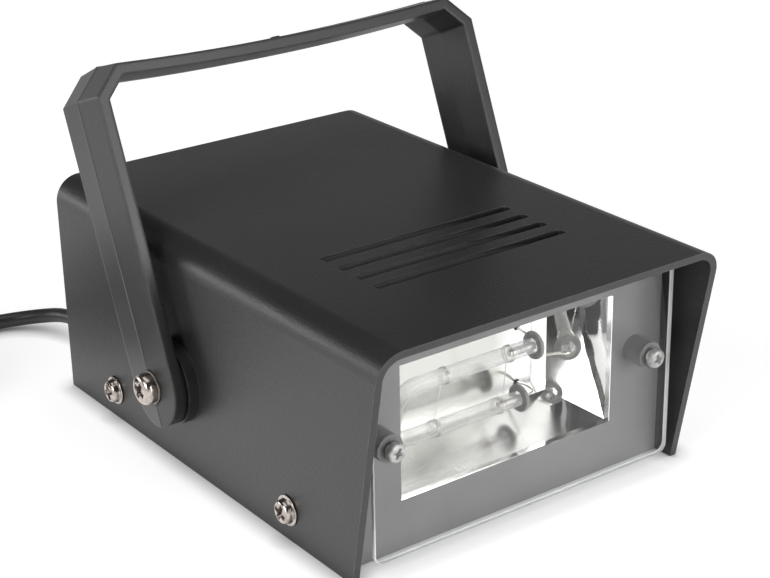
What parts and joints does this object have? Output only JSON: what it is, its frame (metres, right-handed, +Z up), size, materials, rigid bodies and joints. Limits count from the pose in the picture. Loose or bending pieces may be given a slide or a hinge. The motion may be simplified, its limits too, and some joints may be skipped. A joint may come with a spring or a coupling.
{
  "type": "xenon stroboscope",
  "caption": "Mains xenon strobe lamp: black moulded box with hooded window, folded mirror and U-shaped flash tube, on a U bracket that swings about side screws; rear speed knob.",
  "frame": {"origin": "on the surface that the lamp stands on, under the middle of its box (lead, coil, plug and strain relief left out)", "axes": "+Z up; the window looks along -Y; +X to the right of someone who faces the rear of the lamp from in front of it, across the bracket's pivots"},
  "size_m": [0.218, 0.231, 0.114],
  "materials": {
    "chassis": "fine matt grain",
    "top_cover": "fine matt grain",
    "bracket": "satin",
    "cover_screws": "plated",
    "lens_sheet": "clear, polished",
    "lens_screws": "plated",
    "mirror": "bright polished",
    "flash_tube": "clear",
    "tube_collars": "matt silicone",
    "tube_leads": "drawn wire",
    "trigger_wire": "drawn wire",
    "pivot_screws": "plated",
    "pivot_washers": "plated",
    "pivot_nuts": "plated",
    "potentiometer": "pressed can",
    "potentiometer_nut": "plated",
    "speed_shaft": "turned",
    "speed_knob": "satin",
    "circuit_board": "solder mask",
    "board_screws": "plated",
    "storage_capacitors": "shrunk sleeve",
    "ballast_resistor": "cement",
    "trigger_coil": "potted",
    "film_capacitors": "dipped",
    "thyristor": "moulded",
    "rectifier_diodes": "moulded",
    "fuse": "clear",
    "fuse_clips": "plated",
    "strain_relief": "matt",
    "power_cord": "satin sheath",
    "cord_coil": "satin sheath",
    "cord_tie": "matt",
    "plug_body": "satin",
    "plug_pins": "nickel plated"
  },
  "bodies": {
    "housing": {"chassis": "chassis", "top_cover": "top_cover", "cover_screws": "cover_screws", "lens_sheet": "lens_sheet", "lens_screws": "lens_screws", "mirror": "mirror", "flash_tube": "flash_tube", "tube_collars": "tube_collars", "tube_leads": "tube_leads", "trigger_wire": "trigger_wire", "pivot_screws": "pivot_screws", "pivot_washers": "pivot_washers", "pivot_nuts": "pivot_nuts", "potentiometer": "potentiometer", "potentiometer_nut": "potentiometer_nut", "circuit_board": "circuit_board", "board_screws": "board_screws", "storage_capacitors": "storage_capacitors", "ballast_resistor": "ballast_resistor", "trigger_coil": "trigger_coil", "film_capacitors": "film_capacitors", "thyristor": "thyristor", "rectifier_diodes": "rectifier_diodes", "fuse": "fuse", "fuse_clips": "fuse_clips", "strain_relief": "strain_relief", "power_cord": "power_cord", "cord_coil": "cord_coil", "cord_tie": "cord_tie", "plug_body": "plug_body", "plug_pins": "plug_pins"},
    "bracket": {"bracket": "bracket"},
    "speed_control": {"speed_shaft": "speed_shaft", "speed_knob": "speed_knob"}
  },
  "joints": [
    {"name": "bracket_swing", "type": "hinge", "parent": "housing", "child": "bracket", "pos_m": [0, 0.0095, 0.0267], "axis": [1, 0, 0], "range_deg": [-68, 73.5]},
    {"name": "speed_turn", "type": "hinge", "parent": "housing", "child": "speed_control", "pos_m": [0.022, 0.0827, 0.034], "axis": [0, 1, 0], "range_deg": [-150, 150]}
  ]
}
